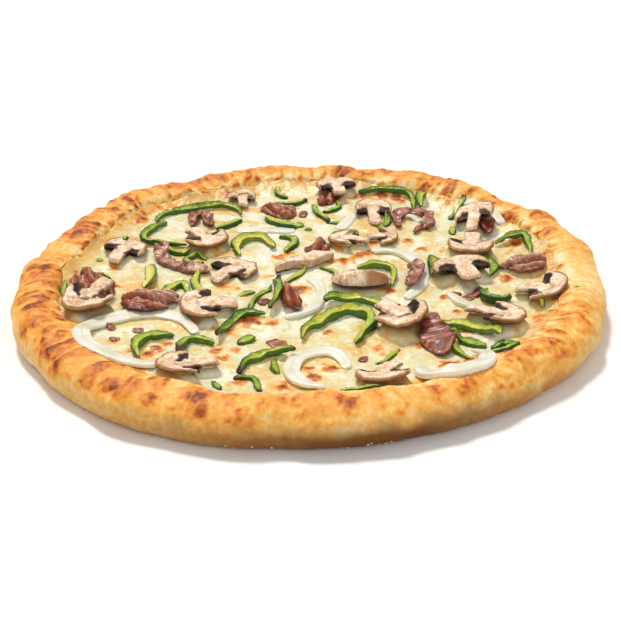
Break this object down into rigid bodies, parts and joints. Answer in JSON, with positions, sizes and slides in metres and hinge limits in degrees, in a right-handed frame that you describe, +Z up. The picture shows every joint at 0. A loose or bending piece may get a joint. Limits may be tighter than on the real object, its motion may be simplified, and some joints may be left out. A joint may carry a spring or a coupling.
{
  "type": "pan pizza",
  "caption": "Round thick-crust pizza with a raised golden rim, browned melted cheese and toppings of pepper strips, onion rings, sliced mushroom and folded ham.",
  "frame": {"origin": "centre of the flat underside, on the surface the pizza rests on", "axes": "+Z up, +X to the viewer's right in the picture, -Y towards the viewer"},
  "size_m": [0.354, 0.3552, 0.0312],
  "materials": {
    "crust": "baked dough, matt, golden brown",
    "cheese": "melted cheese, oily sheen, browned spots",
    "pepper": "cooked green pepper, moist, dark skin",
    "onion": "cooked white onion, moist and slightly translucent",
    "ham": "crumpled cured ham, dark red, greasy",
    "mushroom": "baked mushroom slice, tan with dark gills"
  },
  "bodies": {
    "root": {"cheese": "cheese", "crust": "crust", "ham_1": "ham", "ham_10": "ham", "ham_11": "ham", "ham_12": "ham", "ham_13": "ham", "ham_2": "ham", "ham_3": "ham", "ham_4": "ham", "ham_5": "ham", "ham_6": "ham", "ham_7": "ham", "ham_8": "ham", "ham_9": "ham", "mushroom_1": "mushroom", "mushroom_10": "mushroom", "mushroom_11": "mushroom", "mushroom_12": "mushroom", "mushroom_13": "mushroom", "mushroom_14": "mushroom", "mushroom_15": "mushroom", "mushroom_16": "mushroom", "mushroom_17": "mushroom", "mushroom_18": "mushroom", "mushroom_19": "mushroom", "mushroom_2": "mushroom", "mushroom_20": "mushroom", "mushroom_3": "mushroom", "mushroom_4": "mushroom", "mushroom_5": "mushroom", "mushroom_6": "mushroom", "mushroom_7": "mushroom", "mushroom_8": "mushroom", "mushroom_9": "mushroom", "onion_1": "onion", "onion_2": "onion", "onion_3": "onion", "onion_4": "onion", "onion_5": "onion", "onion_6": "onion", "pepper_1": "pepper", "pepper_10": "pepper", "pepper_11": "pepper", "pepper_12": "pepper", "pepper_13": "pepper", "pepper_14": "pepper", "pepper_15": "pepper", "pepper_16": "pepper", "pepper_17": "pepper", "pepper_18": "pepper", "pepper_19": "pepper", "pepper_2": "pepper", "pepper_3": "pepper", "pepper_4": "pepper", "pepper_5": "pepper", "pepper_6": "pepper", "pepper_7": "pepper", "pepper_8": "pepper", "pepper_9": "pepper"}
  },
  "joints": []
}
